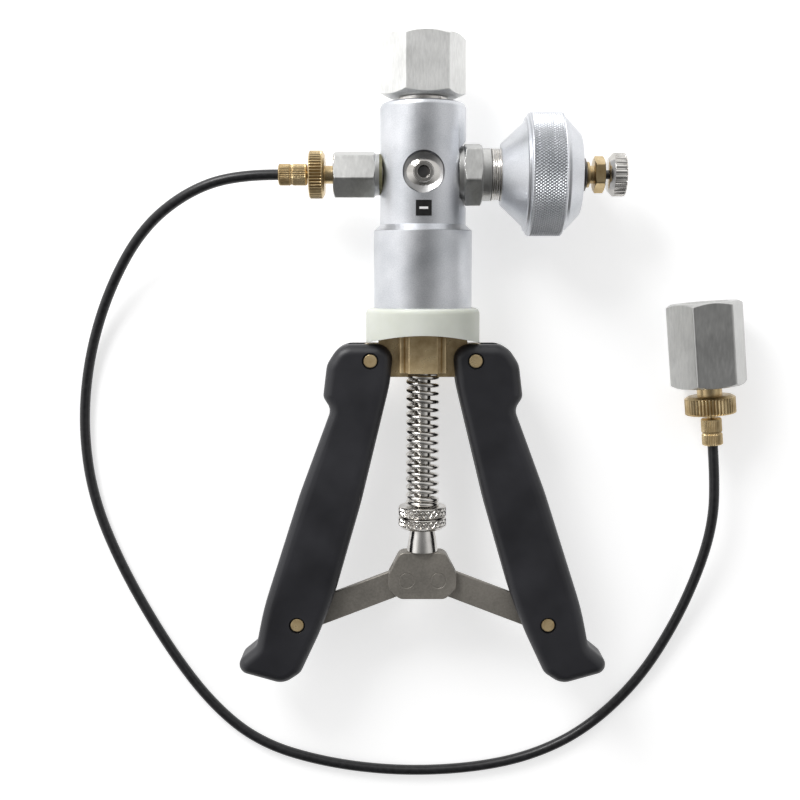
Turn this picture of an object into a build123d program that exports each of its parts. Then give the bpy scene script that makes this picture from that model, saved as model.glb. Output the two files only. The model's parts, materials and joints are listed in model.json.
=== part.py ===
from build123d import *

import math
import os

# Hand-operated pressure and vacuum pump, lying on its back on a flat surface. All sizes are in millimetres.
# Row frame: +X across the pump towards the adjusting knob, +Y along the pump towards the gauge connector,
# +Z up. The origin is on the surface, under the middle of the rigid parts.
# Each part is drawn in the pump's own frame, whose origin is where the port bores cross and whose Y axis is
# the pump's axis, and is then moved by PUMP_AT.

# ---------------------------------------------------------------- where things stand
KNOB_R = 24.5                                # the widest round part, which touches the surface
PUMP_AT = Vector(-2.6, 76.8, KNOB_R)

# ---------------------------------------------------------------- manifold and cylinder
MANIFOLD_R = 17.25
MANIFOLD_TOP = 28.1
SHOULDER_TOP = -20.1
SHOULDER_END = -22.4
BARREL_R = 19.8
BARREL_END = -56.0
BARREL_NECK_R = 15.0
BORE_R = 13.0
BORE_TOP = -14.2
BORE_END = -49.2
PLATE_TOP = -11.5                            # the valve plate sits on the barrel's neck
POCKET_TOP = -8.0
VALVE_X = 5.2

# ---------------------------------------------------------------- collar and handle bracket
COLLAR_R = 23.1
COLLAR_TOP = -53.3
COLLAR_ARCH_TOP = -63.7
COLLAR_ARCH_R = 74.0
DISC_R = 19.6
DISC_END = -62.5
YOKE_END = -81.25
BOSS_END = -79.4
EAR_HALF = 4.4
EAR_R = 6.8
BUSH_R = 5.5

# ---------------------------------------------------------------- handles, links and rod
PIVOT = Vector(21.2, -74.45)
LINK_PIN = Vector(51.5, -183.1)
RIVET = Vector(6.5, -165.7)
HANDLE_HALF = 10.0
HANDLE_ROUND = 4.2
CHANNEL_HALF = 4.5
CHANNEL_WALL = 5.2
CHANNEL_FLOOR = 3.0
PIN_R = 2.2
PIN_HEAD_R = 2.8
HEAD_POCKET_R = 3.35
HEAD_LOW = 7.9
HEAD_TOP = 9.4
LINK_HALF = 1.5
LINK_WIDTH = 11.0
LINK_BOSS_R = 5.2
JOURNAL_R = 1.6                              # the thin middle of the link pin
OPEN_EYE_R = 3.65                            # the link's eye at the opened pivot
ROD_R = 3.5
ROD_THREAD_R = 2.5
ROD_END_TOP = -144.4
ROD_END_LOW = -153.9
CLEVIS_END = -173.6
CLEVIS_HALF = 4.2
SPRING_TOP = -79.4
SPRING_END = -134.7
SPRING_WIRE = 1.8
SPRING_OUT = 14.0
SPRING_TURNS = 15
RUN = 0.05                                   # radial clearance of a running fit

# ---------------------------------------------------------------- gauge connector
GAUGE_AF = 30.0
GAUGE_LOW = 30.4
GAUGE_TOP = 54.4
GAUGE_TURN = -25.0
PORT_R = 9.2                                 # M20 x 1.5 thread, minor diameter
RELIEF_R = 9.7
RELIEF_TOP = 39.6
NIPPLE_R = 8.0
NIPPLE_LIP_R = 8.9

# ---------------------------------------------------------------- fine adjuster and release valve
ADJ_AF = 23.0
ADJ_TURN = 13.0
SPOT_FACE = 14.2
SPOT_R = 13.5
GLAND_HEX = (16.3, 23.6)
GLAND_R = 10.5
GLAND_END = 44.0
STEM_R = 4.5
STEM_TIP = 15.0
STEM_SHOULDER = 51.8
STEM_END = 65.6
STEM_THIN_R = 4.0
RELEASE_END = 81.2
NEEDLE_R = 1.8

# ---------------------------------------------------------------- selector
SELECTOR_BORE_R = 3.5
SELECTOR_RECESS_R = 8.25
SELECTOR_FLOOR = 11.5
SPOOL_PIN_R = 2.4

# ---------------------------------------------------------------- hose side
ADAPTER_AF = 17.0
ADAPTER_FACE = -16.3
ADAPTER_END = -35.9
SHANK_R = 3.6
HOSE_DIA = 4.3
CRIMP_R = 4.3
CRIMP_LENGTH = 11.5
HOSE_TUBE_R = 1.6
END_AF = 28.0
END_LENGTH = 35.0
END_TURN = 30.0
END_LEAN = 5.0                               # the far fitting lies turned by this much from the pump's axis
END_AT = Vector(115.9, 8.0)                  # its middle, in the row frame
END_Z = END_AF / 2

# The hose's route in the row frame: out of the pump, down to the surface, round and up to the far fitting.
HOSE_ROUTE = [
    (-60.6, 76.8, 24.5), (-78.6, 76.8, 24.5), (-99.5, 69.5, 21.8), (-118.5, 55.0, 15.4), (-134.0, 31.0, 7.6),
    (-144.2, 3.0, 3.2), (-148.0, -27.0, 2.3), (-144.8, -58.0, 2.2), (-133.2, -89.0, 2.2), (-114.2, -124.0, 2.2),
    (-94.5, -151.5, 2.2), (-73.4, -169.0, 2.2), (-44.6, -178.0, 2.2), (-12.1, -181.9, 2.2), (20.9, -180.4, 2.2),
    (48.0, -174.2, 2.2), (71.2, -161.8, 2.2), (92.6, -140.6, 2.3), (107.6, -114.6, 4.2), (116.8, -89.6, 7.8),
    (120.8, -69.4, 12.1), (121.12, -51.67, END_Z), (119.6, -34.34, END_Z),
]


# ================================================================ helpers
def turned(profile, along="Y"):
    """A solid of revolution. The profile is a list of (position along the axis, radius)."""
    corners = [point for point, following in zip(profile, profile[1:] + profile[:1]) if point != following]
    face = make_face(Polyline(*corners, close=True).edges())
    solid = revolve(face, Axis.X)
    if along == "Y":
        return Rot(0, 0, 90) * solid
    return Rot(0, -90, 0) * solid if along == "Z" else solid


def bar(start, end, radius, along="Y"):
    return turned([(start, 0), (start, radius), (end, radius), (end, 0)], along)


def ring(start, end, inner, outer, along="Y"):
    return turned([(start, inner), (start, outer), (end, outer), (end, inner)], along)


def hexagon(start, end, across_flats, turn=0.0, along="Y", first=True, last=True):
    """A hexagonal bar whose corners are cut back at 30 degrees at the ends that are marked."""
    flat = RegularPolygon(across_flats / 2, 6, major_radius=False)
    shape = Rot(0, 90, 0) * extrude(Rot(0, 0, turn) * flat, end - start)
    reach = across_flats
    drop = (reach - across_flats / 2) * math.tan(math.radians(30))
    low, high = (drop if first else 0), (drop if last else 0)
    cut = turned([
        (0, 0), (0, across_flats / 2 if first else reach), (low, reach),
        (end - start - high, reach), (end - start, across_flats / 2 if last else reach), (end - start, 0),
    ] if low + high < end - start else [
        (0, 0), (0, across_flats / 2), ((end - start) / 2, across_flats / 2 + (end - start) / 2 * math.sqrt(3)),
        (end - start, across_flats / 2), (end - start, 0),
    ], "X")
    shape = Pos(start, 0, 0) * (shape & cut)
    if along == "Y":
        return Rot(0, 0, 90) * shape
    return Rot(0, -90, 0) * shape if along == "Z" else shape


def mirrored(shape):
    return mirror(shape, Plane.YZ)


def block(x, y, z):
    """A box given by its (low, high) limits along each axis."""
    size = [high - low for low, high in (x, y, z)]
    middle = [(low + high) / 2 for low, high in (x, y, z)]
    return Pos(*middle) * Box(*size)


def slab(outline, low, high):
    """A flat outline, drawn in XY, made solid between two heights."""
    return Pos(0, 0, low) * extrude(outline, high - low)


def disc_at(centre, radius, low, high):
    return Pos(centre.X, centre.Y, 0) * bar(low, high, radius, "Z")


def solids_of(*shapes):
    """Several separate solids that are one node."""
    return Compound(children=[s for shape in shapes for s in shape.solids()])


# ================================================================ body
def manifold_body():
    body = turned([
        (MANIFOLD_TOP, 0), (MANIFOLD_TOP, MANIFOLD_R - 2.2), (MANIFOLD_TOP - 0.65, MANIFOLD_R - 0.65),
        (MANIFOLD_TOP - 2.2, MANIFOLD_R), (SHOULDER_TOP, MANIFOLD_R), (SHOULDER_END, BARREL_R), (SHOULDER_END, 0),
    ])
    body -= bar(SHOULDER_END, PLATE_TOP, BARREL_NECK_R)
    for side in (-1, 1):
        body -= Pos(side * VALVE_X, 0, 0) * bar(PLATE_TOP, POCKET_TOP, 3.6)
        body -= Pos(side * 2.6, 0, 0) * bar(POCKET_TOP, -1.0, 0.8)
        body -= bar(side * SELECTOR_FLOOR, side * 20.0, SELECTOR_RECESS_R, "Z")
        body -= bar(side * 5.5, side * SELECTOR_FLOOR, 6.0, "Z")
    body -= bar(-5.5, 5.5, SELECTOR_BORE_R, "Z")
    body -= bar(12.0, MANIFOLD_TOP, NIPPLE_R)                       # gauge connector
    body -= bar(2.0, 12.0, 1.5)
    body -= bar(-20.0, ADAPTER_FACE, 8.4, "X")                      # hose adapter
    body -= bar(ADAPTER_FACE, -8.0, 6.4, "X")
    body -= bar(-8.0, -2.0, 1.2, "X")
    body -= bar(SPOT_FACE, 20.0, SPOT_R, "X")                       # fine adjuster
    body -= bar(7.6, SPOT_FACE, 7.0, "X")
    body -= bar(2.0, 7.6, 1.5, "X")
    return body


def cylinder_barrel():
    wall = turned([
        (BORE_TOP, BORE_R), (BORE_TOP, BARREL_NECK_R), (SHOULDER_END, BARREL_NECK_R), (SHOULDER_END, BARREL_R),
        (BARREL_END + 0.4, BARREL_R), (BARREL_END, BARREL_R - 0.4), (BARREL_END, BARREL_NECK_R),
        (BORE_END, BARREL_NECK_R), (BORE_END, BORE_R),
    ])
    return wall - ring(-19.4, -18.0, BARREL_NECK_R - 1.0, BARREL_NECK_R + 1.0)


def barrel_seal():
    return ring(-19.4, -18.0, BARREL_NECK_R - 1.0, BARREL_NECK_R)


def valve_plate():
    plate = bar(BORE_TOP, PLATE_TOP, BARREL_NECK_R)
    for side in (-1, 1):
        plate -= Pos(side * VALVE_X, 0, 0) * bar(BORE_TOP, PLATE_TOP, 1.0)
        for turn in range(6):
            plate -= Pos(side * VALVE_X, 0, 0) * Rot(0, 60 * turn, 0) * Pos(2.1, 0, 0) * bar(
                BORE_TOP, PLATE_TOP, 0.45)
    return plate


def umbrella_valve(opens_up):
    """A rubber valve: a stem through the plate with a flexible cap that covers the ring of small holes."""
    stem = bar(BORE_TOP, PLATE_TOP, 1.0)
    if opens_up:
        return Pos(VALVE_X, 0, 0) * (stem + bar(PLATE_TOP, PLATE_TOP + 0.9, 3.2) + bar(BORE_TOP - 0.5, BORE_TOP, 1.4))
    return Pos(-VALVE_X, 0, 0) * (stem + bar(BORE_TOP - 0.7, BORE_TOP, 3.2) + bar(PLATE_TOP, PLATE_TOP + 0.8, 1.4))


def mark_plate(side):
    """A thin square plate that follows the round body, under the selector."""
    skin = ring(-17.1, -11.0, MANIFOLD_R, MANIFOLD_R + 0.2)
    return skin & block((-3.1, 3.1), (-17.1, -11.0), (10, 20) if side > 0 else (-20, -10))


def collar():
    sleeve = ring(COLLAR_ARCH_TOP - 4.0, COLLAR_TOP, DISC_R + 0.25, COLLAR_R)
    arch = Pos(0, COLLAR_ARCH_TOP - COLLAR_ARCH_R, 0) * bar(-30, 30, COLLAR_ARCH_R, "Z")
    sleeve -= arch
    rim = turned([
        (COLLAR_TOP, 0), (COLLAR_TOP, COLLAR_R - 2.0), (COLLAR_TOP - 0.6, COLLAR_R - 0.6),
        (COLLAR_TOP - 2.0, COLLAR_R), (-80, COLLAR_R), (-80, 0),
    ])
    return sleeve & rim


def handle_bracket():
    body = bar(BARREL_END, BORE_END, BARREL_NECK_R) + bar(DISC_END, BARREL_END, DISC_R)
    plate = Pos(0, (DISC_END + YOKE_END) / 2) * Rectangle(36.0, DISC_END - YOKE_END)
    ears = Pos(0, PIVOT.Y) * SlotCenterToCenter(2 * PIVOT.X, 2 * EAR_R)
    body += slab(plate + ears, -EAR_HALF, EAR_HALF)
    boss = block((-9.6, 9.6), (BOSS_END, DISC_END), (-9.0, 9.0))
    boss = fillet(boss.edges().filter_by(Axis.Y), 1.15)
    pad = block((-5.9, 5.9), (BOSS_END, DISC_END), (-12.4, 12.4))
    pad = chamfer(pad.edges().filter_by(Axis.Y), 0.4)
    body += boss + pad
    for x in (-7.0, 7.0):
        for z in (-9.0, 9.0):
            body -= Pos(x, 0, z) * bar(BOSS_END, DISC_END, 0.7)      # relief grooves beside the pad
    body -= bar(YOKE_END, BOSS_END, SPRING_OUT / 2 + 0.3)
    body -= bar(BOSS_END, BORE_END, BUSH_R)
    for side in (-1, 1):
        body -= disc_at(Vector(side * PIVOT.X, PIVOT.Y), PIN_R, -EAR_HALF, EAR_HALF)
    return body


def rod_bush():
    return ring(-79.2, -54.0, ROD_R + RUN, BUSH_R)


def rod_wiper():
    return ring(-53.8, -51.0, ROD_R + RUN, BUSH_R)


# ================================================================ pumping rod
def piston_rod():
    return turned([
        (-150.0, 0), (-150.0, ROD_R), (-48.6, ROD_R), (-48.6, ROD_THREAD_R), (-36.8, ROD_THREAD_R), (-36.8, 0),
    ])


def piston():
    body = ring(-48.6, -39.0, ROD_THREAD_R, BORE_R - RUN)
    for low in (-47.2, -41.8):
        body -= ring(low, low + 1.6, BORE_R - 1.6, BORE_R + 1)
    return body


def piston_seals():
    return solids_of(*[ring(low, low + 1.6, BORE_R - 1.6, BORE_R - 0.03) for low in (-47.2, -41.8)])


def piston_nut():
    return hexagon(-39.0, -36.8, 9.0) - bar(-39.0, -36.8, ROD_THREAD_R)


def return_spring():
    """An open coil spring with a flat last turn at each end."""
    radius = (SPRING_OUT - SPRING_WIRE) / 2
    height = SPRING_TOP - SPRING_END - SPRING_WIRE
    path = Helix(pitch=height / SPRING_TURNS, height=height, radius=radius)
    section = Plane(origin=path @ 0, z_dir=path % 0) * Circle(SPRING_WIRE / 2)
    wire = sweep(section, path=path, is_frenet=True)
    return Pos(0, SPRING_TOP - SPRING_WIRE / 2, 0) * (Rot(90, 0, 0) * wire)


def knurled_nut(low, high, foot):
    return turned([
        (low, ROD_R), (low, 9.85 - foot), (low + foot, 9.85), (high - 0.5, 9.85), (high, 9.35), (high, ROD_R),
    ])


def rod_end():
    cone = turned([
        (ROD_END_TOP, 0), (ROD_END_TOP, 4.9), (-149.0, 5.8), (ROD_END_LOW, 6.5), (ROD_END_LOW, 3.0),
        (-158.0, 3.0), (-158.0, 0),
    ])
    return cone - bar(-150.0, ROD_END_TOP, ROD_R)


def clevis():
    right = [(9.3, ROD_END_LOW), (14.2, -163.4), (14.2, -169.0), (9.4, CLEVIS_END)]
    outline = Polyline(*right, *[(-x, y) for x, y in reversed(right)], close=True)
    face = make_face(outline.edges())
    face = fillet(face.vertices(), 3.6)
    body = slab(face, -CLEVIS_HALF, CLEVIS_HALF)
    body = chamfer(body.edges().group_by(Axis.Z)[-1] + body.edges().group_by(Axis.Z)[0], 0.35)
    body -= block((-20, 20), (-180, -159.4), (-LINK_HALF - 0.1, LINK_HALF + 0.1))
    body -= bar(-158.0, ROD_END_LOW, 3.0)
    for side in (-1, 1):
        body -= rivet(side)
    return body


def rivet(side):
    shaft = bar(-CLEVIS_HALF, CLEVIS_HALF, 2.0, "Z")
    head = turned([(2.9, 2.0), (CLEVIS_HALF, 3.3), (CLEVIS_HALF, 0), (2.9, 0)], "Z")
    return Pos(side * RIVET.X, RIVET.Y, 0) * (shaft + head + mirror(head, Plane.XY))


def link(side):
    """A flat bar from the clevis rivet to the handle's pin. Its outer eye is wide, because the loop opens there."""
    inner, outer = Vector(side * RIVET.X, RIVET.Y), Vector(side * LINK_PIN.X, LINK_PIN.Y)
    middle, run = (inner + outer) / 2, outer - inner
    turn = math.degrees(math.atan2(run.Y, run.X))
    strip = Pos(middle.X, middle.Y) * Rot(0, 0, turn) * SlotCenterToCenter(run.length, LINK_WIDTH)
    body = slab(strip, -LINK_HALF, LINK_HALF)
    body = chamfer(body.edges().group_by(Axis.Z)[-1] + body.edges().group_by(Axis.Z)[0], 0.25)
    body -= disc_at(inner, 2.0 + RUN, -5, 5)
    return body - disc_at(outer, OPEN_EYE_R, -5, 5)


# ================================================================ handles
def handle_outline():
    """The right handle's side view: a rounded head with a finger stop, a slim grip and a hooked foot.
    Each corner is (x, y, radius)."""
    corners = [
        (11.6, -67.8, 6.4), (33.5, -67.8, 9.0), (38.8, -76.0, 9.0), (40.4, -89.2, 4.0), (37.2, -94.2, 5.0),
        (50.0, -128.5, 200.0), (65.5, -177.0, 120.0), (68.6, -192.7, 5.0), (80.14, -202.3, 4.0), (57.5, -208.75, 8.0),
        (50.4, -204.0, 6.0), (43.0, -188.2, 90.0), (36.6, -172.5, 120.0), (25.2, -133.0, 300.0), (13.4, -84.0, 60.0),
    ]
    edge = FilletPolyline(*[(x, y) for x, y, _ in corners], radius=[r for _, _, r in corners], close=True)
    return make_face(edge.edges())


def handle(side):
    """A moulded grip, open towards the rod, with bosses inside that hold the link in the middle."""
    face = handle_outline()
    body = slab(face, -HANDLE_HALF, HANDLE_HALF)
    rims = body.edges().group_by(Axis.Z)[-1] + body.edges().group_by(Axis.Z)[0]
    body = fillet(rims, HANDLE_ROUND)
    body -= Pos(-CHANNEL_WALL, CHANNEL_FLOOR, 0) * slab(face, -CHANNEL_HALF, CHANNEL_HALF)
    for low, high in ((LINK_HALF + 0.2, CHANNEL_HALF + 0.5), (-CHANNEL_HALF - 0.5, -LINK_HALF - 0.2)):
        body += disc_at(LINK_PIN, LINK_BOSS_R, low, high)
    body -= disc_at(PIVOT, PIN_R + RUN, -HANDLE_HALF, HANDLE_HALF)
    body -= disc_at(LINK_PIN, PIN_R, -HANDLE_HALF, HANDLE_HALF)
    for centre in (PIVOT, LINK_PIN):
        for low, high in ((HEAD_LOW, HANDLE_HALF + 1), (-HANDLE_HALF - 1, -HEAD_LOW)):
            body -= disc_at(centre, HEAD_POCKET_R, low, high)
    return body if side > 0 else mirrored(body)


def headed_pin(centre, journal_r, head_gap):
    """A brass pin with a round head at each end, thinned in the middle to journal_r."""
    low = HEAD_LOW + head_gap
    half = turned([
        (0, 0), (0, journal_r), (LINK_HALF + 0.2, journal_r), (LINK_HALF + 0.2, PIN_R), (low, PIN_R),
        (low, PIN_HEAD_R), (HEAD_TOP - 0.3, PIN_HEAD_R), (HEAD_TOP, PIN_HEAD_R - 0.3), (HEAD_TOP, 0),
    ], "Z")
    return Pos(centre.X, centre.Y, 0) * (half + mirror(half, Plane.XY))


def pivot_pins():
    return solids_of(*[headed_pin(Vector(side * PIVOT.X, PIVOT.Y), PIN_R, 0.1) for side in (-1, 1)])


def link_pin(side):
    return headed_pin(Vector(side * LINK_PIN.X, LINK_PIN.Y), JOURNAL_R, 0.0)


# ================================================================ gauge connector
def gauge_nipple():
    return turned([
        (12.0, 2.0), (12.0, NIPPLE_R), (MANIFOLD_TOP, NIPPLE_R), (MANIFOLD_TOP, 10.0), (30.2, 10.0),
        (30.2, NIPPLE_R), (34.6, NIPPLE_R), (34.6, NIPPLE_LIP_R), (37.6, NIPPLE_LIP_R), (37.6, 2.0),
    ])


def gauge_seal():
    return ring(37.6, 39.1, 2.6, 8.6)


def gauge_nut():
    nut = hexagon(GAUGE_LOW, GAUGE_TOP, GAUGE_AF, GAUGE_TURN)
    return nut - turned([
        (GAUGE_LOW, 0), (GAUGE_LOW, NIPPLE_R + RUN), (34.4, NIPPLE_R + RUN), (34.4, RELIEF_R),
        (RELIEF_TOP, RELIEF_R), (RELIEF_TOP, PORT_R), (GAUGE_TOP - 1.0, PORT_R), (GAUGE_TOP, PORT_R + 1.0),
        (GAUGE_TOP, 0),
    ])


# ================================================================ fine adjuster
def adjuster_gland():
    hexed = hexagon(*GLAND_HEX, ADJ_AF, ADJ_TURN, "X")
    body = hexed + bar(SPOT_FACE, GLAND_HEX[0], 11.3, "X") + bar(7.6, SPOT_FACE, 7.0, "X")
    body += bar(GLAND_HEX[1], GLAND_END, GLAND_R, "X")
    for groove in range(4):
        at = 28.2 + 0.75 * groove
        body -= ring(at, at + 0.35, GLAND_R - 0.35, GLAND_R + 1, "X")
    body -= bar(7.6, GLAND_END, STEM_R + RUN, "X")
    return body - ring(9.0, 10.4, 6.0, 7.5, "X")


def gland_seal():
    return ring(9.0, 10.4, 6.0, 7.0, "X")


def adjuster_knob():
    body = turned([
        (31.0, 0), (31.0, 12.3), (40.6, 21.3), (40.6, 22.6), (41.6, 22.6), (41.6, 24.0), (42.1, KNOB_R),
        (55.2, KNOB_R), (55.7, 24.0), (55.7, 22.2), (57.0, 22.2), (62.6, 16.3), (62.6, 0),
    ], "X")
    return body - turned([
        (31.0, 0), (31.0, GLAND_R + RUN), (STEM_SHOULDER, GLAND_R + RUN), (STEM_SHOULDER, STEM_THIN_R + RUN),
        (62.6, STEM_THIN_R + RUN), (62.6, 0),
    ], "X")


def adjuster_stem():
    stem = turned([
        (STEM_TIP, 0), (STEM_TIP, STEM_R), (STEM_SHOULDER, STEM_R), (STEM_SHOULDER, STEM_THIN_R),
        (STEM_END, STEM_THIN_R), (STEM_END, 0),
    ], "X")
    for low in (16.2, 19.2):
        stem -= ring(low, low + 1.2, STEM_R - 1.0, STEM_R + 1, "X")
    stem -= ring(63.9, 65.0, STEM_THIN_R - 0.4, STEM_THIN_R + 1, "X")
    return stem - bar(57.0, STEM_END, 2.7, "X") - bar(STEM_TIP, 57.0, 0.8, "X")


def plunger_seals():
    return solids_of(*[ring(low, low + 1.2, STEM_R - 1.0, STEM_R, "X") for low in (16.2, 19.2)])


def thrust_washer():
    return ring(62.9, 63.7, STEM_THIN_R, 8.4, "X")


def retaining_ring():
    """A spring clip in the stem's groove, open over a short gap, with two lugs."""
    clip = ring(63.9, 65.0, STEM_THIN_R - 0.4, 6.6, "X")
    gap = block((60, 70), (-1.2, 1.2), (-12, 0))
    lugs = [Pos(0, side * 2.6, -7.2) * bar(63.9, 65.0, 2.0, "X") for side in (-1, 1)]
    return clip - gap + lugs


def release_body():
    body = turned([
        (57.0, 0), (57.0, 2.7), (STEM_END, 2.7), (STEM_END, 5.15), (66.6, 5.15), (66.6, 3.55), (68.4, 3.55),
        (68.4, 0),
    ], "X")
    body += hexagon(68.4, 72.6, 13.0, 30.0, "X")
    body -= bar(58.4, 72.6, NEEDLE_R + RUN, "X")
    return body - Pos(67.5, 0, 0) * bar(0, 6, 0.9, "Z") - bar(57.0, 58.4, 0.6, "X")


def release_needle():
    needle = turned([(58.8, 0), (58.8, 0.3), (60.2, NEEDLE_R), (78.0, NEEDLE_R), (78.0, 0)], "X")
    return needle - ring(69.6, 70.6, NEEDLE_R - 0.6, NEEDLE_R + 1, "X")


def needle_seal():
    return ring(69.6, 70.6, NEEDLE_R - 0.6, NEEDLE_R, "X")


def release_knob():
    body = turned([
        (74.2, 0), (74.2, 6.9), (76.0, 8.65), (80.7, 8.65), (RELEASE_END, 8.15), (RELEASE_END, 0),
    ], "X")
    return body - bar(74.2, 78.0, NEEDLE_R + RUN, "X")


# ================================================================ selector
def selector_gland(side):
    top = turned([
        (SELECTOR_FLOOR, 0), (SELECTOR_FLOOR, 8.05), (13.3, 8.05), (15.2, 4.1), (15.8, 3.8), (15.8, 0),
    ], "Z")
    nut = top & hexagon(SELECTOR_FLOOR, 16.0, 15.4, 30.0, "Z", first=False, last=False)
    nut += bar(5.5, SELECTOR_FLOOR, 6.0, "Z")
    nut -= bar(5.5, 8.6, SELECTOR_BORE_R, "Z")
    nut -= bar(8.6, 15.8, SPOOL_PIN_R + RUN, "Z")
    return nut if side > 0 else mirror(nut, Plane.XY)


def selector_spool():
    low, high = -8.4, 4.4
    thick = SELECTOR_BORE_R - RUN
    spool = turned([
        (-19.0, 0), (-19.0, SPOOL_PIN_R - 0.3), (-18.7, SPOOL_PIN_R), (low, SPOOL_PIN_R), (low, thick),
        (high, thick), (high, SPOOL_PIN_R), (14.7, SPOOL_PIN_R), (15.0, SPOOL_PIN_R - 0.3), (15.0, 0),
    ], "Z")
    for at in (-7.0, -2.6, 1.8):
        spool -= ring(at, at + 1.2, thick - 0.9, thick + 1, "Z")
    return spool


def spool_seals():
    thick = SELECTOR_BORE_R - RUN
    return solids_of(*[ring(at, at + 1.2, thick - 0.9, thick, "Z") for at in (-7.0, -2.6, 1.8)])


# ================================================================ hose side
def hose_adapter():
    body = hexagon(ADAPTER_END, -19.1, ADAPTER_AF, ADJ_TURN, "X")
    body += bar(-19.1, -17.5, 8.25, "X") + bar(-17.5, -8.0, 6.4, "X")
    body -= bar(ADAPTER_END, -29.0, SHANK_R + RUN, "X")
    return body - bar(-29.0, -8.0, 1.0, "X")


def adapter_seal():
    return ring(-17.5, ADAPTER_FACE, 6.4, 8.2, "X")


def thumb_nut(head_start, head_end, head_r, shank_start, shank_r):
    """A knurled nut that turns on the hose end, with its threaded shank towards +X."""
    return turned([
        (head_start, HOSE_TUBE_R + RUN), (head_start, head_r - 0.4), (head_start + 0.4, head_r),
        (head_end - 1.0, head_r), (head_end, head_r - 1.6), (head_end, shank_r), (shank_start, shank_r),
        (shank_start, HOSE_TUBE_R + RUN),
    ], "X")


def hose_end(face, tip, collar_r=CRIMP_R):
    """The crimped sleeve, from the hose's cut end at face, and the tube that runs on through the nut to tip."""
    end = face + CRIMP_LENGTH
    body = turned([
        (face, 0), (face, collar_r - 0.5), (face + 0.5, collar_r), (end - 0.5, collar_r), (end, collar_r - 0.5),
        (end, HOSE_TUBE_R), (tip - 1.0, HOSE_TUBE_R), (tip, 1.0), (tip, 0),
    ], "X")
    for groove in range(3):
        at = face + 2.6 + 2.2 * groove
        body -= ring(at, at + 0.7, collar_r - 0.35, collar_r + 1, "X")
    return body


def at_far_end(shape):
    """Moves a part drawn along X, with X = 0 at the far fitting's open end and +X pointing out of it."""
    return Pos(END_AT.X, END_AT.Y, END_Z) * Rot(0, 0, 90 + END_LEAN) * Pos(END_LENGTH / 2, 0, 0) * shape


def end_adapter():
    body = hexagon(-END_LENGTH, 0, END_AF, END_TURN, "X")
    body -= turned([
        (0, 0), (0, PORT_R + 1.0), (-1.0, PORT_R), (-16.0, PORT_R), (-16.0, 8.7), (-17.6, 8.7), (-17.6, 0),
    ], "X")
    body -= bar(-27.0, -17.6, 1.5, "X")
    return body - bar(-END_LENGTH, -27.0, 5.2 + RUN, "X")


def end_adapter_seal():
    return ring(-17.5, -16.1, 2.6, 8.6, "X")


def hose():
    """The hose's tube: straight runs joined by arcs as large as the runs allow."""
    points = [Vector(*p) for p in HOSE_ROUTE]
    runs = [b - a for a, b in zip(points, points[1:])]
    radii = []
    for before, after in zip(runs, runs[1:]):
        turn = math.radians(before.get_angle(after))
        radii.append(0.45 * min(before.length, after.length) / math.tan(turn / 2))
    path = FilletPolyline(*points, radius=radii)
    section = Plane(origin=path @ 0, z_dir=path % 0) * Circle(HOSE_DIA / 2)
    tube = sweep(section, path=path, transition=Transition.ROUND)
    expected = math.pi * HOSE_DIA ** 2 / 4 * path.length
    print("hose radii", [round(r, 1) for r in radii])
    print("hose runs", [round(r.length, 1) for r in runs])
    print(f"hose length {path.length:.1f}, volume over section x length {tube.volume / expected:.4f}")
    return tube


# ================================================================ the assembly
def pump_nodes():
    """Every node of the pump itself, in the pump's own frame."""
    return {
        "manifold_body": manifold_body(),
        "cylinder_barrel": cylinder_barrel(),
        "barrel_seal": barrel_seal(),
        "valve_plate": valve_plate(),
        "inlet_valve": umbrella_valve(opens_up=False),
        "outlet_valve": umbrella_valve(opens_up=True),
        "front_mark_plate": mark_plate(1),
        "back_mark_plate": mark_plate(-1),
        "collar": collar(),
        "handle_bracket": handle_bracket(),
        "rod_bush": rod_bush(),
        "rod_wiper": rod_wiper(),
        "piston_rod": piston_rod(),
        "piston": piston(),
        "piston_seals": piston_seals(),
        "piston_nut": piston_nut(),
        "return_spring": return_spring(),
        "spring_nut": knurled_nut(-139.2, -134.8, 0.5),
        "lock_nut": knurled_nut(-144.3, -139.4, 1.4),
        "rod_end": rod_end(),
        "clevis": clevis(),
        "clevis_rivets": solids_of(rivet(-1), rivet(1)),
        "link_left": link(-1),
        "link_right": link(1),
        "handle_left": handle(-1),
        "handle_right": handle(1),
        "pivot_pins": pivot_pins(),
        "link_pin_left": link_pin(-1),
        "link_pin_right": link_pin(1),
        "gauge_nipple": gauge_nipple(),
        "gauge_seal": gauge_seal(),
        "gauge_nut": gauge_nut(),
        "adjuster_gland": adjuster_gland(),
        "gland_seal": gland_seal(),
        "adjuster_knob": adjuster_knob(),
        "adjuster_stem": adjuster_stem(),
        "plunger_seals": plunger_seals(),
        "thrust_washer": thrust_washer(),
        "retaining_ring": retaining_ring(),
        "release_body": release_body(),
        "release_needle": release_needle(),
        "needle_seal": needle_seal(),
        "release_knob": release_knob(),
        "selector_gland_front": selector_gland(1),
        "selector_gland_back": selector_gland(-1),
        "selector_spool": selector_spool(),
        "spool_seals": spool_seals(),
        "hose_adapter": hose_adapter(),
        "adapter_seal": adapter_seal(),
    }


def hose_nodes():
    """The hose and what is on it, in the row frame."""
    near = Pos(*PUMP_AT)
    return {
        "hose_nut_near": near * thumb_nut(-45.7, -39.4, 9.5, -30.0, SHANK_R),
        "hose_end_near": near * hose_end(-58.0, -29.2),
        "hose": hose(),
        "hose_end_far": at_far_end(hose_end(-60.0, -27.4)),
        "hose_nut_far": at_far_end(thumb_nut(-46.8, -38.9, 10.5, -28.0, 5.2)),
        "end_adapter": at_far_end(end_adapter()),
        "end_adapter_seal": at_far_end(end_adapter_seal()),
    }


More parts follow.
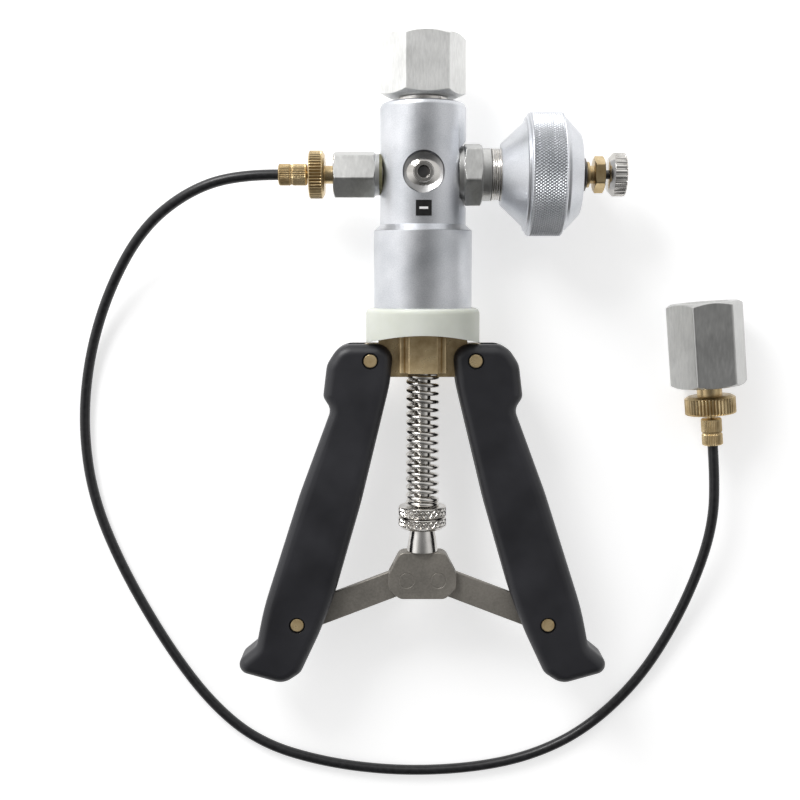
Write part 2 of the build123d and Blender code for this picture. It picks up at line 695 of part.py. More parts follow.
def main():
    os.makedirs("parts", exist_ok=True)
    nodes = {name: Pos(*PUMP_AT) * shape for name, shape in pump_nodes().items()}
    box = Compound(children=[s for shape in nodes.values() for s in shape.solids()]).bounding_box()
    print("rigid parts' box", box.min, box.max)
    nodes.update(hose_nodes())
    for name, shape in nodes.items():
        solids = shape.solids()
        export_step(solids[0] if len(solids) == 1 else Compound(children=list(solids)), f"parts/{name}.step")


main()
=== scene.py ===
import json
import math

import bmesh
import bpy
import numpy as np
from mathutils import Matrix, Vector


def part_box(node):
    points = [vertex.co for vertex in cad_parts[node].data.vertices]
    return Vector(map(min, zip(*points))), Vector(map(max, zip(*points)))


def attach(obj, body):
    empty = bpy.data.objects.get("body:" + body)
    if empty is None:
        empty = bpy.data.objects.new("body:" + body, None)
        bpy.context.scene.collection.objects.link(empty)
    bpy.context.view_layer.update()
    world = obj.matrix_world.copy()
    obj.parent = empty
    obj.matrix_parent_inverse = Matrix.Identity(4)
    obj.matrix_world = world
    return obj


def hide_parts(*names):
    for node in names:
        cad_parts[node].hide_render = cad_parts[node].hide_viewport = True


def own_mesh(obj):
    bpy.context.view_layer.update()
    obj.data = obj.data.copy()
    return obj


# Looks for the hand pump. The lengths of its pieces are millimetres, and they are turned into metres where
# a mesh or an object is made. The materials, the lights, the floor and the names that end in _M use metres.
# "Pump frame" means the frame whose origin is where the port bores cross and whose Y axis is the pump's own.

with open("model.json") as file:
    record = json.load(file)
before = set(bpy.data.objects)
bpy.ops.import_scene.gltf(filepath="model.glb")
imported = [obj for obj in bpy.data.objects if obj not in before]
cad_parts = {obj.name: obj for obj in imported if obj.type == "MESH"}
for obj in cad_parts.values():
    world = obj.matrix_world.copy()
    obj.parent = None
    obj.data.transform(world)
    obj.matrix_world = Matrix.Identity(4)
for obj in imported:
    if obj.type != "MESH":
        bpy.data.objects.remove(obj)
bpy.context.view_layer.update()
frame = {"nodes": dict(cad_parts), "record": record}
MM = 0.001
RECORD = frame["record"]
BODY_OF = {node: body for body, nodes in RECORD["behaviour"]["bodies"].items() for node in nodes}
SLOT_OF = {part["node"]: part["material_slot"] for part in RECORD["subparts"]}
JOINTS = {joint["name"]: joint for joint in RECORD["behaviour"]["joints"]}


def middle(node):
    low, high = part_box(node)
    return (low + high) / 2


PUMP = Vector((middle("cylinder_barrel").x, middle("selector_gland_front").y, middle("adjuster_knob").z))
X, Y, Z = Vector((1, 0, 0)), Vector((0, 1, 0)), Vector((0, 0, 1))


def pump(x, y, z=0.0):
    """A point of the pump frame, in the row frame, in metres."""
    return PUMP + Vector((x, y, z)) * MM


# ================================================================ materials
def set_stops(color_ramp, stops):
    """Fills a colour ramp. Each stop is (position, colour) or (position, grey level)."""
    elements = color_ramp.elements
    while len(elements) < len(stops):
        elements.new(0.5)
    for element, (place, color) in zip(elements, stops):
        element.position = place
        element.color = (*color, 1) if isinstance(color, (tuple, list)) else (color, color, color, 1)


class Nodes:
    """A short way to write a material's node tree. Noise scales are cycles to the metre."""

    def __init__(self, name):
        self.material = bpy.data.materials.new(name)
        self.material.use_nodes = True
        self.tree = self.material.node_tree
        self.shader = self.tree.nodes["Principled BSDF"]
        coordinates = self.tree.nodes.new("ShaderNodeTexCoord")
        self.where = coordinates.outputs["Object"]

    def give(self, socket, value):
        if isinstance(value, bpy.types.NodeSocket):
            self.tree.links.new(value, socket)
        else:
            socket.default_value = value

    def add(self, kind, inputs, **settings):
        node = self.tree.nodes.new("ShaderNode" + kind)
        for key, value in settings.items():
            setattr(node, key, value)
        for key, value in inputs.items():
            self.give(node.inputs[key], value)
        return node

    def noise(self, scale, detail=2.0, rough=0.5, stretch=None):
        where = self.where
        if stretch:
            where = self.add("Mapping", {"Vector": where, "Scale": stretch}).outputs["Vector"]
        inputs = {"Vector": where, "Scale": scale, "Detail": detail, "Roughness": rough}
        return self.add("TexNoise", inputs).outputs["Fac"]

    def ramp(self, value, *stops):
        node = self.add("ValToRGB", {"Fac": value})
        set_stops(node.color_ramp, stops)
        return node.outputs["Color"]

    def bump(self, height, depth, strength):
        inputs = {"Height": height, "Distance": depth, "Strength": strength}
        return self.add("Bump", inputs).outputs["Normal"]

    def set(self, **inputs):
        for key, value in inputs.items():
            self.give(self.shader.inputs[key.replace("_", " ")], value)
        return self.material


def grained_metal(name, dark, light, rough, grain, depth, patch=60.0, stretch=None, metallic=1.0):
    """Bare or plated metal: a fine grain in colour, roughness and surface, and a slow drift over the part."""
    n = Nodes(name)
    fine = n.noise(grain, 3.0, 0.6, stretch)
    slow = n.noise(patch, 2.0)
    both = n.add("Math", {0: fine, 1: slow}, operation="ADD").outputs[0]
    half = n.add("Math", {0: both, 1: 0.5}, operation="MULTIPLY").outputs[0]
    return n.set(
        Base_Color=n.ramp(half, (0.36, dark), (0.64, light)), Metallic=metallic,
        Roughness=n.ramp(half, (0.3, rough - 0.05), (0.7, rough + 0.06)), Normal=n.bump(fine, depth, 0.6))


def polished_metal(name, dark, light, rough):
    n = Nodes(name)
    turning = n.noise(900.0, 2.0, 0.5)
    slow = n.noise(120.0)
    return n.set(
        Base_Color=n.ramp(slow, (0.35, dark), (0.65, light)), Metallic=1.0,
        Roughness=n.ramp(slow, (0.3, rough), (0.75, rough + 0.09)), Normal=n.bump(turning, 0.00001, 0.25))


def brass(name, light=1.0, metallic=1.0):
    """Brass whose tarnish drifts from dark to bright. light scales its three tones."""
    n = Nodes(name)
    fine = n.noise(1500.0, 3.0, 0.6)
    tarnish = n.noise(160.0, 4.0, 0.6)
    tones = [(0.42, 0.30, 0.15), (0.62, 0.48, 0.27), (0.72, 0.57, 0.34)]
    tones = [[light * level for level in tone] for tone in tones]
    return n.set(
        Base_Color=n.ramp(tarnish, *zip((0.3, 0.55, 0.75), tones)), Metallic=metallic,
        Roughness=n.ramp(tarnish, (0.3, 0.36), (0.7, 0.24)), Normal=n.bump(fine, 0.00002, 0.5))


def moulded_plastic():
    n = Nodes("black_grip_plastic")
    spark = n.noise(2600.0, 2.0, 0.6)
    slow = n.noise(45.0, 3.0)
    return n.set(
        Base_Color=n.ramp(slow, (0.3, (0.010, 0.010, 0.013)), (0.7, (0.022, 0.022, 0.027))),
        Roughness=n.ramp(slow, (0.3, 0.40), (0.7, 0.50)), Normal=n.bump(spark, 0.00004, 0.35),
        Specular_IOR_Level=0.55)


def milky_plastic():
    n = Nodes("milky_collar_plastic")
    cloud = n.noise(70.0, 3.0)
    return n.set(
        Base_Color=n.ramp(cloud, (0.3, (0.60, 0.62, 0.55)), (0.7, (0.70, 0.72, 0.66))),
        Roughness=n.ramp(cloud, (0.3, 0.38), (0.7, 0.48)), Normal=n.bump(n.noise(500.0), 0.00003, 0.3),
        Subsurface_Weight=0.35, Subsurface_Scale=0.004, Subsurface_Radius=(1.0, 1.0, 0.8))


def soft_rubber(name, dark, light):
    n = Nodes(name)
    slow = n.noise(400.0, 3.0)
    return n.set(
        Base_Color=n.ramp(slow, (0.3, dark), (0.7, light)), Roughness=0.6,
        Normal=n.bump(n.noise(3000.0), 0.00002, 0.4))


def hose_skin():
    n = Nodes("hose_skin")
    along = n.noise(500.0, 3.0, 0.6)
    return n.set(
        Base_Color=n.ramp(along, (0.35, (0.006, 0.006, 0.007)), (0.7, (0.016, 0.016, 0.018))),
        Roughness=n.ramp(along, (0.3, 0.30), (0.7, 0.42)), Normal=n.bump(along, 0.00004, 0.3))


def glossy_film(name, dark, light):
    n = Nodes(name)
    slow = n.noise(600.0)
    return n.set(
        Base_Color=n.ramp(slow, (0.3, dark), (0.7, light)), Roughness=0.3,
        Normal=n.bump(n.noise(2500.0), 0.00001, 0.3))


def grey(level):
    return (level, level, level)


MATERIALS = {
    "satin_aluminium": grained_metal(
        "satin_aluminium", (0.52, 0.54, 0.57), (0.78, 0.79, 0.82), rough=0.36, grain=3200.0, depth=0.00004),
    "nickel_steel": grained_metal(
        "nickel_steel", (0.47, 0.47, 0.46), (0.60, 0.60, 0.585), rough=0.34, grain=900.0, depth=0.00002,
        patch=80.0, stretch=(1.0, 0.25, 1.0)),
    "polished_steel": polished_metal("polished_steel", (0.55, 0.53, 0.50), (0.78, 0.76, 0.73), rough=0.12),
    "clevis_steel": grained_metal(
        "clevis_steel", (0.24, 0.225, 0.20), (0.34, 0.315, 0.28), rough=0.45, grain=1100.0, depth=0.00002,
        metallic=0.6),
    "brass": brass("brass_turned"),
    "black_plastic": moulded_plastic(),
    "natural_plastic": milky_plastic(),
    "rubber": soft_rubber("seal_rubber", grey(0.012), grey(0.03)),
    "olive_rubber": soft_rubber("olive_rubber", (0.10, 0.095, 0.045), (0.17, 0.16, 0.08)),
    "dark_steel": polished_metal("dark_steel", grey(0.10), (0.22, 0.21, 0.20), rough=0.28),
    "mark_black": glossy_film("mark_black", grey(0.004), grey(0.012)),
    "hose_black": hose_skin(),
    "white_polymer": soft_rubber("bush_polymer", (0.6, 0.6, 0.58), (0.75, 0.75, 0.72)),
}
MARK_WHITE = glossy_film("mark_white", grey(0.75), grey(0.85))
CAST_BRASS = brass("brass_machined_flat", light=0.98, metallic=0.45)
PIN_BRASS = brass("brass_pin_head", light=1.25, metallic=0.7)
BRIGHT_NICKEL = grained_metal(
    "bright_nickel", (0.70, 0.70, 0.685), (0.88, 0.88, 0.865), rough=0.5, grain=1400.0, depth=0.00003,
    patch=70.0, stretch=(1.0, 0.2, 1.0), metallic=0.75)


def dressed(piece, node, stands_for=True, material=None):
    """Gives a piece its node's body and a material, by default the one of the node's slot, and hides the node
    that it stands for.
    """
    piece.data.materials.clear()
    piece.data.materials.append(material or MATERIALS[SLOT_OF[node]])
    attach(piece, BODY_OF[node])
    if stands_for:
        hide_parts(node)
    return piece


# ================================================================ mesh makers
SHARP_ANGLE = math.radians(38)      # an edge that turns by more than this is a sharp one
RING_STEP = 0.12                    # between the rings of a finely cut surface


def new_object(name, mesh):
    thing = bpy.data.objects.new(name, mesh)
    bpy.context.scene.collection.objects.link(thing)
    return thing


def weighted_normals(thing):
    weighted = thing.modifiers.new("weighted_normals", "WEIGHTED_NORMAL")
    weighted.keep_sharp = True
    weighted.weight = 50
    return thing


def crisp(node, edge):
    """The node's own shape with its sharp edges broken by edge, as a machined or moulded edge is."""
    weld_m, flat_angle = 2e-6, math.radians(0.6)
    mesh = bpy.data.meshes.new(node + "_skin")
    work = bmesh.new()
    work.from_mesh(frame["nodes"][node].data)
    bmesh.ops.remove_doubles(work, verts=work.verts, dist=weld_m)
    bmesh.ops.dissolve_limit(work, angle_limit=flat_angle, verts=work.verts, edges=work.edges)
    for face in work.faces:
        face.smooth = True
    work.to_mesh(mesh)
    work.free()
    thing = new_object(node + "_skin", mesh)
    bevel = thing.modifiers.new("edge_break", "BEVEL")
    bevel.width = edge * MM
    bevel.segments = 2
    bevel.limit_method = "ANGLE"
    bevel.angle_limit = SHARP_ANGLE
    bevel.use_clamp_overlap = True
    bevel.miter_outer = "MITER_ARC"
    return weighted_normals(thing)


def softened(profile, radius):
    """The profile with each corner cut by a short curve."""
    points = [np.array(p, float) for p in profile]
    out = [points[0]]
    for before, corner, after in zip(points, points[1:], points[2:]):
        into, out_of = before - corner, after - corner
        long_in, long_out = np.linalg.norm(into), np.linalg.norm(out_of)
        cut = min(radius, 0.45 * long_in, 0.45 * long_out)
        a, b = corner + into / long_in * cut, corner + out_of / long_out * cut
        out += [a, 0.25 * a + 0.5 * corner + 0.25 * b, b]
    return out + [points[-1]]


def filled_in(profile, low, high, step):
    """The profile with extra rings between two positions, for a knurl or flats to be cut into."""
    out = [profile[0]]
    for a, b in zip(profile, profile[1:]):
        span = abs(b[0] - a[0])
        inside = min(a[0], b[0]) >= low - 1e-6 and max(a[0], b[0]) <= high + 1e-6
        count = max(1, math.ceil(span / step)) if inside and span > 0 else 1
        out += [a + (b - a) * i / count for i in range(1, count + 1)]
    return out


def across(axis):
    """Two directions at right angles to an axis and to each other."""
    first = Z.cross(axis).normalized() if abs(axis.dot(Z)) < 0.9 else X.copy()
    return first, axis.cross(first).normalized()


def spun(name, origin, axis, rings, columns, cut=None, start=0.0):
    """A turned piece. rings is a list of (position along the axis, radius), and cut(angles, position, radius)
    gives the radii left where a knurl, a flat or a thread is cut. It is closed where the radius is 0."""
    directions = np.array([*across(axis), axis])
    angles = start + np.arange(columns) * 2 * math.pi / columns
    vertices, faces, rows = [], [], []
    for position, radius in rings:
        if radius < 1e-9:
            rows.append([len(vertices)])
            vertices.append(np.array([0, 0, position]) @ directions)
            continue
        radii = np.full(columns, float(radius)) if cut is None else cut(angles, position, float(radius))
        rows.append(list(range(len(vertices), len(vertices) + columns)))
        ring = np.stack([radii * np.cos(angles), radii * np.sin(angles), np.full(columns, position)], 1)
        vertices += list(ring @ directions)
    for low, high in zip(rows, rows[1:]):
        for i in range(columns):
            j = (i + 1) % columns
            if len(low) == 1 and len(high) > 1:
                faces.append((low[0], high[i], high[j]))
            elif len(high) == 1 and len(low) > 1:
                faces.append((low[i], high[0], low[j]))
            elif len(low) > 1:
                faces.append((low[i], high[i], high[j], low[j]))
    mesh = bpy.data.meshes.new(name)
    places = np.array(vertices) * MM + np.array(origin)
    mesh.from_pydata([tuple(v) for v in places], [], faces)
    work = bmesh.new()
    work.from_mesh(mesh)
    bmesh.ops.recalc_face_normals(work, faces=work.faces)
    for face in work.faces:
        face.smooth = True
    for edge in work.edges:
        edge.smooth = edge.calc_face_angle(0.0) < SHARP_ANGLE
    work.to_mesh(mesh)
    work.free()
    return weighted_normals(new_object(name, mesh))


# ================================================================ knurls and flats, as cuts for spun
def teeth(value):
    """A triangle wave: 0 in the groove, 1 on the crest."""
    return 1 - np.abs(2 * (value - np.floor(value)) - 1)


def diamond_knurl(count, pitch, depth, low, high, flat=0.75):
    """Crossed grooves, count to the turn each way, between two positions."""
    def cut(angles, position, radius):
        if not low <= position <= high:
            return np.full(len(angles), radius)
        turn = angles / (2 * math.pi) * count
        along = position / pitch
        height = np.minimum(np.minimum(teeth(turn + along), teeth(turn - along)) / flat, 1.0)
        return radius - depth * (1 - height)
    return cut


def straight_knurl(count, depth, low, high):
    """Grooves along the axis, count to the turn, between two positions."""
    def cut(angles, position, radius):
        if not low <= position <= high:
            return np.full(len(angles), radius)
        return radius - depth * (1 - np.minimum(teeth(angles / (2 * math.pi) * count) * 1.3, 1.0))
    return cut


def corner_radius(af):
    """The radius at the corners of six flats af apart."""
    return af / math.sqrt(3)


def blank_radius(af):
    """The radius of a turned blank that six flats af apart cut all round."""
    return corner_radius(af) + 0.1


def hexagonal(af, facet, low, high):
    """Six flats af apart between two positions, one of them facing the angle facet in degrees, with their
    corners just broken."""
    def cut(angles, position, radius):
        if not low - 1e-6 <= position <= high + 1e-6:
            return np.full(len(angles), radius)
        off = (np.degrees(angles) - facet + 30) % 60 - 30
        flats = np.minimum(af / 2 / np.cos(np.radians(off)), corner_radius(af) - 0.14)
        return np.minimum(flats, radius)
    return cut


# ================================================================ pieces with six flats
def hex_piece(node, origin, axis, profile, af, low, high, facet, material=None):
    """A turned piece with six flats, whose chamfered ends are cut where the cone meets the flats."""
    chamfer = 3.2                       # the plain middle, further than this from both ends, needs no rings
    first, *inner, last = filled_in(softened(profile, 0.12), low, high, RING_STEP)
    kept = [(position, radius) for position, radius in inner
            if not (low + chamfer < position < high - chamfer and radius > corner_radius(af))]
    piece = spun(node + "_skin", origin, axis, [first, *kept, last], 240, hexagonal(af, facet, low, high),
                 start=math.radians(facet))
    return dressed(piece, node, material=material)


def gauge_nut():
    af, low, high = 30, 30.4, 54.4
    r = blank_radius(af)
    profile = [(37.5, 8.2), (34.4, 9.7), (34.4, 8.05), (low, 8.05), (low, 13.6), (32.0, r), (52.9, r),
               (high, 14.7), (high, 10.2), (53.4, 9.2), (39.6, 9.2), (39.6, 9.7), (37.5, 9.7)]
    return hex_piece("gauge_nut", PUMP, Y, profile, af, low, high, facet=95, material=BRIGHT_NICKEL)


def hose_adapter():
    af, low, high = 17, -35.9, -19.1
    r = blank_radius(af)
    profile = [(-29.0, 1.0), (-29.0, 3.65), (low, 3.65), (low, 8.3), (-35.1, r), (-19.9, r), (high, 8.3),
               (-17.5, 8.25), (-17.5, 6.4), (-8.0, 6.4), (-8.0, 1.0)]
    return hex_piece("hose_adapter", PUMP, X, profile, af, low, high, facet=73)


def adjuster_gland():
    af, low, high = 23, 16.3, 23.6
    r = blank_radius(af)
    profile = [(7.6, 4.55), (7.6, 7.0), (14.2, 7.0), (14.2, 11.3), (low, 11.3), (17.1, r), (22.6, r),
               (high, 11.3), (23.7, 10.5), (26.9, 10.5), (27.3, 10.05), (44.0, 10.05), (44.0, 4.55)]
    return hex_piece("adjuster_gland", PUMP, X, profile, af, low, high, facet=73)


def end_adapter():
    af, low, high = 28, -35.0, 0
    r = blank_radius(af)
    profile = [(-17.6, 1.5), (-27.0, 1.5), (-27.0, 5.25), (low, 5.25), (low, 13.7), (-33.6, r), (-1.4, r),
               (high, 13.7), (high, 10.2), (-1.0, 9.2), (-16.0, 9.2), (-16.0, 8.7), (-17.6, 8.7),
               (-17.6, 1.5)]
    return hex_piece("end_adapter", FAR_END, FAR_AXIS, profile, af, low, high, facet=90)


def release_body():
    af, low, high = 13, 68.4, 72.6
    r = blank_radius(af)
    profile = [(57.0, 2.7), (65.6, 2.7), (65.6, 5.15), (66.6, 5.15), (66.6, 3.55), (low, 3.55), (low, 6.3),
               (69.0, r), (72.0, r), (high, 6.3), (high, 1.85), (58.4, 1.85)]
    return hex_piece("release_body", PUMP, X, profile, af, low, high, facet=90)


# ================================================================ camera, light and floor
VIEW_DISTANCE_M = 0.492
VIEW_TILT = math.radians(6)
VIEW_CENTRE = pump(-9.25, -91.08)


def camera():
    data = bpy.data.cameras.new("camera")
    data.sensor_width = 36
    data.lens = 54
    data.clip_start = 0.01
    thing = new_object("camera", data)
    away = Vector((0, math.sin(VIEW_TILT), math.cos(VIEW_TILT)))
    up = Y - away * Y.dot(away)
    up.normalize()
    turned = Matrix((up.cross(away), up, away)).transposed().to_4x4()
    thing.matrix_world = Matrix.Translation(VIEW_CENTRE + away * VIEW_DISTANCE_M) @ turned
    bpy.context.scene.camera = thing


def panel_light(name, place, aim, side, power):
    """A square panel, whose side and places are in metres and whose power is in watts."""
    data = bpy.data.lights.new(name, "AREA")
    data.shape = "RECTANGLE"
    data.size = data.size_y = side
    data.energy = power
    thing = new_object(name, data)
    thing.location = place
    thing.rotation_euler = (aim - place).to_track_quat("-Z", "Y").to_euler()


def sky_band(tree, value, stops):
    """The sky's brightness against one component of the direction, which runs from -1 to 1."""
    share = tree.nodes.new("ShaderNodeMath")
    share.operation = "MULTIPLY_ADD"
    tree.links.new(value, share.inputs[0])
    share.inputs[1].default_value = share.inputs[2].default_value = 0.5
    ramp = tree.nodes.new("ShaderNodeValToRGB")
    tree.links.new(share.outputs[0], ramp.inputs["Fac"])
    set_stops(ramp.color_ramp, [((place + 1) / 2, shade) for place, shade in stops])
    return ramp.outputs["Color"]


def studio():
    """A soft sky in bands, whose brightness is across_x * dimmed_y + added_y, and one panel."""
    world = bpy.data.worlds.new("studio")
    bpy.context.scene.world = world
    world.use_nodes = True
    tree = world.node_tree
    where = tree.nodes.new("ShaderNodeTexCoord")
    split = tree.nodes.new("ShaderNodeSeparateXYZ")
    tree.links.new(where.outputs["Generated"], split.inputs[0])
    across_x = sky_band(tree, split.outputs["X"], [
        (-1.0, 0.50), (-0.86, 0.58), (-0.68, 0.36), (-0.48, 0.17), (-0.2, 0.09),
        (0.1, 0.085), (0.42, 0.16), (0.72, 0.33), (0.9, 0.33), (1.0, 0.18)])
    dimmed_y = sky_band(tree, split.outputs["Y"], [(-1.0, 0.3), (-0.35, 0.8), (0.0, 1.0), (1.0, 1.0)])
    added_y = sky_band(tree, split.outputs["Y"], [
        (0.1, 0.0), (0.35, 0.05), (0.62, 0.14), (0.85, 0.34), (1.0, 0.40)])
    total = tree.nodes.new("ShaderNodeMath")
    total.operation = "MULTIPLY_ADD"
    for socket, value in zip(total.inputs, (across_x, dimmed_y, added_y)):
        tree.links.new(value, socket)
    tree.links.new(total.outputs[0], tree.nodes["Background"].inputs["Color"])
    tree.nodes["Background"].inputs["Strength"].default_value = 2.2
    aim = pump(0, -60)
    panel_light("key_panel", aim + Vector((-0.48, 0.70, 0.55)), aim, side=0.4, power=6.5)
    bpy.context.scene.view_settings.view_transform = "Standard"


def floor():
    mesh = bpy.data.meshes.new("floor")
    half = 3.0
    corners = [(-half, -half, 0), (half, -half, 0), (half, half, 0), (-half, half, 0)]
    mesh.from_pydata(corners, [], [(0, 1, 2, 3)])
    thing = new_object("floor", mesh)
    n = Nodes("floor_paper")
    tone = n.ramp(n.noise(8.0), (0.3, 0.70), (0.7, 0.72))
    n.set(Base_Color=tone, Roughness=0.9, Emission_Color=(1, 1, 1, 1), Emission_Strength=0.56)
    mesh.materials.append(n.material)


# ================================================================ the hose
END_Z = middle("end_adapter").z / MM
HOSE_DIA_M = 0.0043
# The hose's course in the row frame: from the pump, round the ends of the grips, to the end adapter.
HOSE_ROUTE = [
    (-60.6, 76.8, 24.5), (-78.6, 76.8, 24.5), (-99.5, 69.5, 21.8), (-118.5, 55.0, 15.4), (-134.0, 31.0, 7.6),
    (-144.2, 3.0, 3.2), (-148.0, -27.0, 2.3), (-144.8, -58.0, 2.2), (-133.2, -89.0, 2.2),
    (-114.2, -124.0, 2.2), (-94.5, -151.5, 2.2), (-73.4, -169.0, 2.2), (-44.6, -178.0, 2.2),
    (-12.1, -181.9, 2.2), (20.9, -180.4, 2.2), (48.0, -174.2, 2.2), (71.2, -161.8, 2.2), (92.6, -140.6, 2.3),
    (107.6, -114.6, 4.2), (116.8, -89.6, 7.8), (120.8, -69.4, 12.1), (121.12, -51.67, END_Z),
    (119.6, -34.34, END_Z),
]


def hose():
    data = bpy.data.curves.new("hose_line", "CURVE")
    data.dimensions = "3D"
    spline = data.splines.new("NURBS")
    spline.points.add(len(HOSE_ROUTE) - 1)
    for point, (x, y, z) in zip(spline.points, HOSE_ROUTE):
        point.co = (x * MM, y * MM, z * MM, 1)
    spline.order_u = 3
    spline.use_endpoint_u = True
    data.resolution_u = 16
    data.bevel_depth = HOSE_DIA_M / 2
    data.bevel_resolution = 8
    data.use_fill_caps = True
    return dressed(new_object("hose_line", data), "hose")


# ================================================================ knobs and other turned pieces
FAR_AXIS = Vector(JOINTS["hose_nut_far_turn"]["axis"])
FAR_END = middle("end_adapter") + FAR_AXIS * 17.5 * MM          # the open end's centre


def adjuster_knob():
    profile = [
        (31.0, 10.56), (31.0, 12.3), (40.5, 21.2), (40.6, 22.7), (41.5, 22.7), (41.6, 24.0), (42.2, 24.5),
        (55.1, 24.5), (55.7, 24.0), (55.7, 22.2), (57.0, 22.2), (62.6, 16.3), (62.6, 4.05),
    ]
    low, high = 42.4, 54.9
    rings = filled_in(softened(profile, 0.3), low, high, 0.2)
    cut = diamond_knurl(count=128, pitch=1.7, depth=0.42, low=low, high=high)
    piece = spun("knob_skin", PUMP, X, rings, 768, cut)
    return dressed(piece, "adjuster_knob")


def release_knob():
    profile = [(74.2, 1.86), (74.2, 6.6), (76.0, 8.55), (76.1, 8.65), (80.7, 8.65), (81.2, 8.1), (81.2, 0)]
    low, high = 76.3, 80.8
    rings = filled_in(softened(profile, 0.2), low, high, RING_STEP)
    cut = diamond_knurl(count=25, pitch=1.9, depth=0.7, low=low, high=high, flat=0.55)
    piece = spun("release_knob_skin", PUMP, X, rings, 300, cut)
    return dressed(piece, "release_knob")


def rod_nut(node, low, high, foot):
    """A knurled nut on the rod's thread. foot is the size of the chamfer at its lower end."""
    bore_r, grip_r = 3.5, 9.85
    profile = [(low, bore_r), (low, grip_r - foot), (low + foot, grip_r), (high - 0.4, grip_r), (high, 9.4),
               (high, bore_r)]
    grip_low, grip_high = low + foot + 0.15, high - 0.55
    rings = filled_in(softened(profile, 0.18), grip_low, grip_high, RING_STEP)
    cut = diamond_knurl(count=24, pitch=3.0, depth=0.8, low=grip_low, high=grip_high, flat=0.55)
    piece = spun(node + "_skin", PUMP, Y, rings, 396, cut)
    return dressed(piece, node)


def thumb_nut(node, origin, axis, head_start, head_end, head_r, shank_start, shank_r):
    bore_r = 1.65
    profile = [
        (head_start, bore_r), (head_start, head_r - 0.5), (head_start + 0.4, head_r),
        (head_end - 1.0, head_r), (head_end, head_r - 1.6),
        (head_end, shank_r), (shank_start, shank_r), (shank_start, bore_r),
    ]
    low, high = head_start + 0.5, head_end - 1.1
    rings = filled_in(softened(profile, 0.2), low, high, 0.6)
    cut = straight_knurl(count=46, depth=0.55, low=low, high=high)
    piece = spun(node + "_skin", origin, axis, rings, 368, cut)
    return dressed(piece, node)


def hose_end(node, origin, axis, face, tip):
    """The crimped sleeve, with fine straight ridges and a groove round it, and the tube inside the nut."""
    ridge_r, groove_r, tube_r, end = 4.3, 3.95, 1.6, face + 11.5
    profile = [
        (face, 0), (face, 3.8), (face + 0.4, ridge_r), (face + 4.6, ridge_r), (face + 4.9, groove_r),
        (face + 5.5, groove_r), (face + 5.8, ridge_r), (end - 0.5, ridge_r), (end, 3.8), (end, tube_r),
        (tip - 1, tube_r), (tip, 1.0), (tip, 0),
    ]
    low, high = face + 0.5, end - 0.6
    rings = filled_in(softened(profile, 0.15), low, high, 0.5)
    cut = straight_knurl(count=36, depth=0.22, low=low, high=high)
    piece = spun(node + "_skin", origin, axis, rings, 288, cut)
    return dressed(piece, node)


def gland_thread():
    """The fine external thread between the gland's neck and the knob."""
    pitch, depth, crest, low, high = 0.95, 0.42, 10.52, 27.4, 33.0
    run_in = 0.5

    def cut(angles, position, radius):
        fade = min(1.0, (position - low) / run_in)
        return radius - depth * fade * (1 - teeth(position / pitch - angles / (2 * math.pi)))
    steps = int((high - low) / 0.07)
    rings = [(low + (high - low) * i / steps, crest) for i in range(steps + 1)]
    piece = spun("gland_thread", PUMP, X, rings, 144, cut)
    return dressed(piece, "adjuster_gland", stands_for=False, material=MATERIALS["polished_steel"])


# ================================================================ the return spring
def return_spring():
    low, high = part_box("return_spring")
    bottom, top = (low.y - PUMP.y) / MM, (high.y - PUMP.y) / MM
    wire, outer, turns = 1.8, 14.0, 15
    closed = 1.0                                                 # turns that lie flat at each end
    sides, per_turn = 14, 40
    steps = int((turns + 2 * closed) * per_turn)
    mean = (outer - wire) / 2
    coil_low, coil_high = bottom + wire * 0.35, top - wire * 0.35
    flat_pitch = wire * 0.95
    open_pitch = (coil_high - coil_low - 2 * flat_pitch * closed) / turns
    vertices, faces = [], []
    for i in range(steps + 1):
        turn = i / per_turn
        into = min(turn, closed)
        out_of = max(0.0, turn - closed - turns)
        y = coil_low + flat_pitch * (into + out_of) + open_pitch * (turn - into - out_of)
        angle = 2 * math.pi * turn
        for k in range(sides):
            around = 2 * math.pi * k / sides
            r = mean + wire / 2 * math.cos(around)
            height = min(max(y + wire / 2 * math.sin(around), bottom), top)
            vertices.append(pump(r * math.cos(angle), height, r * math.sin(angle)))
    for i in range(steps):
        for k in range(sides):
            a, b = i * sides + k, i * sides + (k + 1) % sides
            faces.append((a, b, b + sides, a + sides))
    faces.append(tuple(reversed(range(sides))))
    faces.append(tuple(range(steps * sides, (steps + 1) * sides)))
    mesh = bpy.data.meshes.new("spring_skin")
    mesh.from_pydata(vertices, [], faces)
    for face in mesh.polygons:
        face.use_smooth = True
    piece = dressed(new_object("spring_skin", mesh), "return_spring")
    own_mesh(piece)
    return piece


# ================================================================ signs on the mark plates
def sign(name, side, bars):
    """Plain white bars, each (width, height), that follow a mark plate's round face. The plate is the front
    one where side is 1, and the back one where it is -1."""
    node = "front_mark_plate" if side > 0 else "back_mark_plate"
    at = middle(node)
    plate_r, above, columns = 17.45, 0.04, 12
    vertices, faces = [], []
    for width, height in bars:
        base = len(vertices)
        for i in range(columns + 1):
            x = -width / 2 + width * i / columns
            z = math.sqrt((plate_r + above) ** 2 - x ** 2)
            for y in (-height / 2, height / 2):
                vertices.append(Vector((PUMP.x + x * MM, at.y + y * MM, PUMP.z + side * z * MM)))
        for i in range(columns):
            a = base + 2 * i
            faces.append((a, a + 2, a + 3, a + 1) if side > 0 else (a, a + 1, a + 3, a + 2))
    mesh = bpy.data.meshes.new(name)
    mesh.from_pydata(vertices, [], faces)
    piece = new_object(name, mesh)
    thick = piece.modifiers.new("film", "SOLIDIFY")
    thick.thickness = 0.05 * MM
    return dressed(piece, node, stands_for=False, material=MARK_WHITE)


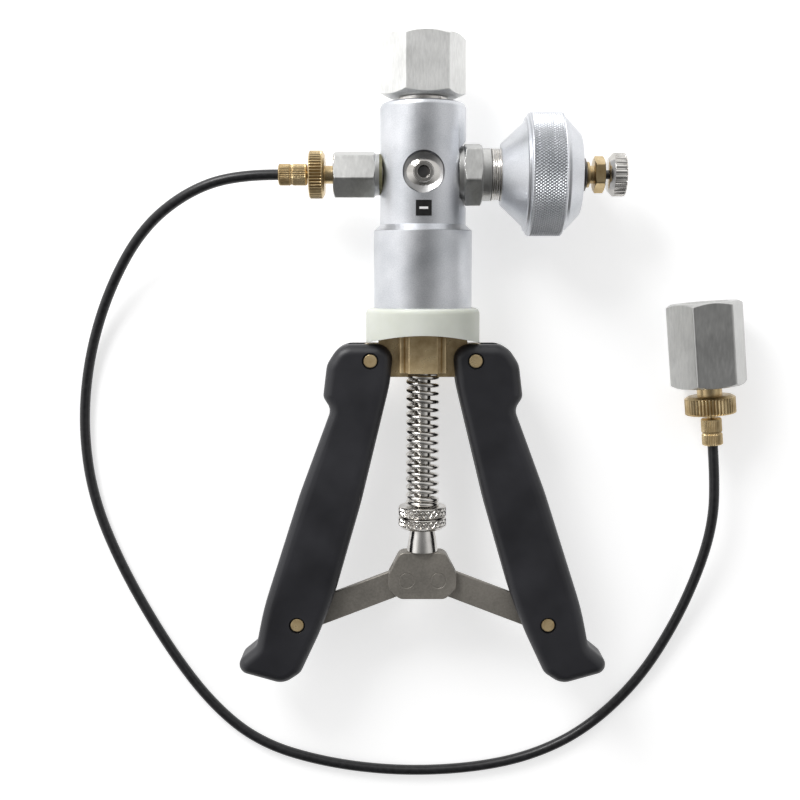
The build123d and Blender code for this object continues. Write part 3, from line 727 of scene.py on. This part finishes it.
# ================================================================ the whole
def carried_over():
    """Gives every CAD node its slot's material, for the pieces that are shown as they are."""
    for node, thing in frame["nodes"].items():
        for place in thing.material_slots:
            place.material = MATERIALS[SLOT_OF[node]]
        if not thing.material_slots:
            thing.data.materials.append(MATERIALS[SLOT_OF[node]])


EDGE_BREAKS = {
    "manifold_body": 0.25, "cylinder_barrel": 0.25, "collar": 0.5, "handle_bracket": 0.3, "gauge_nipple": 0.2,
    "selector_gland_front": 0.15, "selector_gland_back": 0.15, "clevis": 0.2, "clevis_rivets": 0.35,
    "link_left": 0.15, "link_right": 0.15, "handle_left": 0.5, "handle_right": 0.5, "pivot_pins": 0.2,
    "link_pin_left": 0.2, "link_pin_right": 0.2, "rod_end": 0.2, "retaining_ring": 0.1, "thrust_washer": 0.1,
    "selector_spool": 0.15,
}
OWN_LOOK = {
    "handle_bracket": CAST_BRASS, "pivot_pins": PIN_BRASS, "link_pin_left": PIN_BRASS,
    "link_pin_right": PIN_BRASS,
}

camera()
studio()
floor()
carried_over()
hose_piece = hose()
for node, edge in EDGE_BREAKS.items():
    dressed(crisp(node, edge), node, material=OWN_LOOK.get(node))
gauge_nut()
hose_adapter()
adjuster_gland()
end_adapter()
release_body()
adjuster_knob()
release_knob()
rod_nut("spring_nut", low=-139.2, high=-134.8, foot=0.5)
rod_nut("lock_nut", low=-144.3, high=-139.4, foot=1.4)
near_nut = thumb_nut("hose_nut_near", PUMP, X, head_start=-45.7, head_end=-39.4, head_r=9.5,
                     shank_start=-30.0, shank_r=3.6)
far_nut = thumb_nut("hose_nut_far", FAR_END, FAR_AXIS, head_start=-46.8, head_end=-38.9, head_r=10.5,
                    shank_start=-28.0, shank_r=5.2)
near_end = hose_end("hose_end_near", PUMP, X, face=-58.0, tip=-29.2)
far_end = hose_end("hose_end_far", FAR_END, FAR_AXIS, face=-60.0, tip=-27.4)
gland_thread()
return_spring()
sign("front_sign", side=1, bars=[(3.4, 0.9)])
sign("back_sign", side=-1, bars=[(3.4, 0.9), (0.9, 3.4)])
